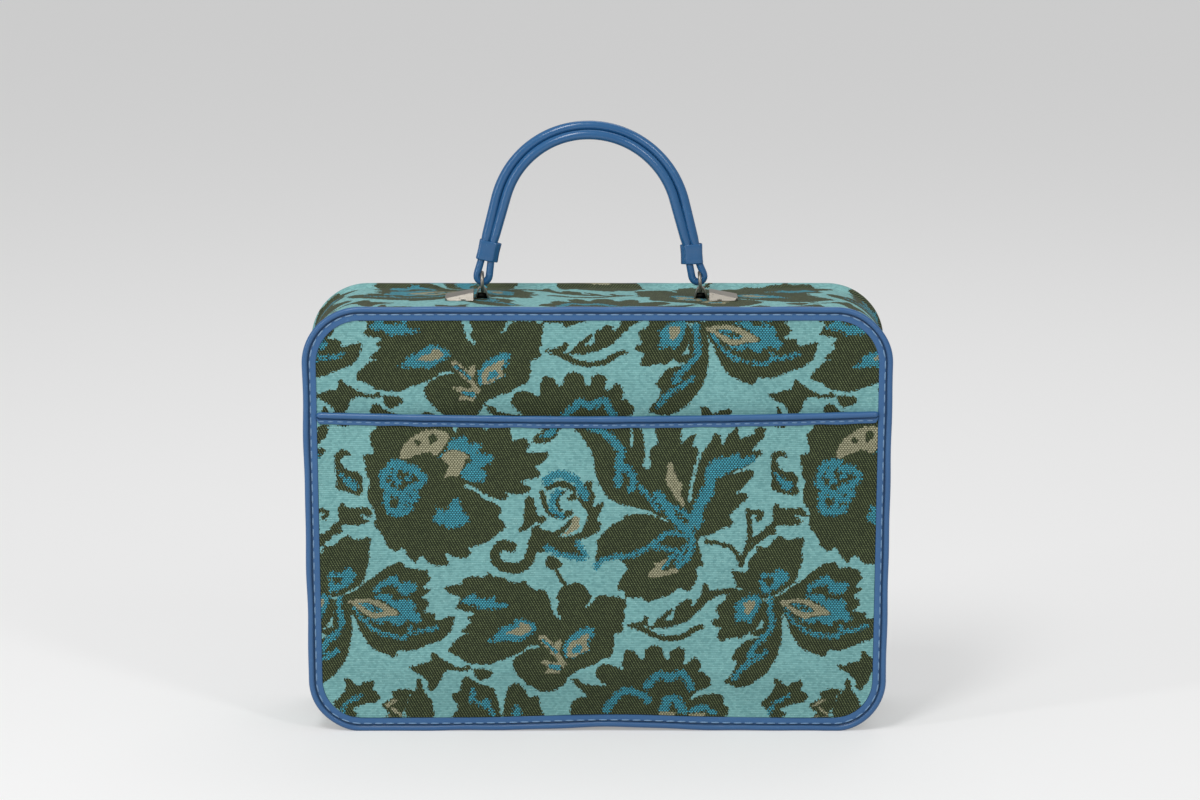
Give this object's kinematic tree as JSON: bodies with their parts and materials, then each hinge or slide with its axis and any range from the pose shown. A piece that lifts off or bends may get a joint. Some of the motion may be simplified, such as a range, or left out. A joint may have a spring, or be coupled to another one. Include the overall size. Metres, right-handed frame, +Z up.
{
  "type": "soft-sided suitcase",
  "caption": "Small upright suitcase in woven floral brocade over board, with vinyl welts, a front slip pocket, a bowed top handle and a zipped back lid.",
  "frame": {"origin": "middle of the whole case, on the surface that it stands on", "axes": "+Z up, X along the case's width, and the pocket side faces -Y"},
  "size_m": [0.38, 0.116, 0.3984],
  "materials": {
    "brocade": "woven jacquard, floral, matt",
    "trim_vinyl": "satin blue vinyl",
    "handle_vinyl": "semi gloss blue vinyl",
    "fibreboard": "plain pressed board",
    "lining_cloth": "plain woven lining",
    "zip_tape": "woven blue tape",
    "zip_metal": "satin",
    "bright_steel": "worn nickel plate",
    "plate_steel": "plain rolled"
  },
  "bodies": {
    "case": {"gusset_board": "fibreboard", "gusset_fabric": "brocade", "front_board": "fibreboard", "front_fabric": "brocade", "front_binding": "trim_vinyl", "rear_binding": "trim_vinyl", "pocket_panel": "brocade", "pocket_binding": "trim_vinyl", "case_lining": "lining_cloth", "handle_plate": "plate_steel", "staple_left": "bright_steel", "staple_right": "bright_steel", "bracket_cap_left": "bright_steel", "bracket_cap_right": "bright_steel", "zip_tape_case": "zip_tape", "zip_teeth_case": "zip_metal", "zip_end_patch_left": "trim_vinyl", "zip_end_patch_right": "trim_vinyl", "hinge_strip": "trim_vinyl"},
    "lid": {"lid_board": "fibreboard", "lid_fabric": "brocade", "lid_lining": "lining_cloth", "lid_binding": "trim_vinyl", "lid_hinge_strip": "trim_vinyl", "zip_tape_lid": "zip_tape", "zip_teeth_lid": "zip_metal"},
    "handle": {"handle_loop": "handle_vinyl", "collar_left": "handle_vinyl", "collar_right": "handle_vinyl", "ring_left": "bright_steel", "ring_right": "bright_steel"},
    "zip_slider": {"zip_slider": "zip_metal"},
    "zip_pull": {"zip_pull": "zip_metal"}
  },
  "joints": [
    {"name": "lid_hinge", "type": "hinge", "parent": "case", "child": "lid", "pos_m": [0, 0.05493, 0.0145], "axis": [-1, 0, 0], "range_deg": [0, 93]},
    {"name": "handle_swing", "type": "hinge", "parent": "case", "child": "handle", "pos_m": [-0.004, 0.00302, 0.2892], "axis": [1, 0, 0], "range_deg": [-92, 92]},
    {"name": "zip_slide", "type": "slide", "parent": "case", "child": "zip_slider", "axis": [0, 0, 1], "range_m": [0, 0.19]},
    {"name": "pull_swing", "type": "hinge", "parent": "zip_slider", "child": "zip_pull", "pos_m": [0.1738, 0.05588, 0.041], "axis": [1, 0, 0], "range_deg": [0, 170]}
  ]
}
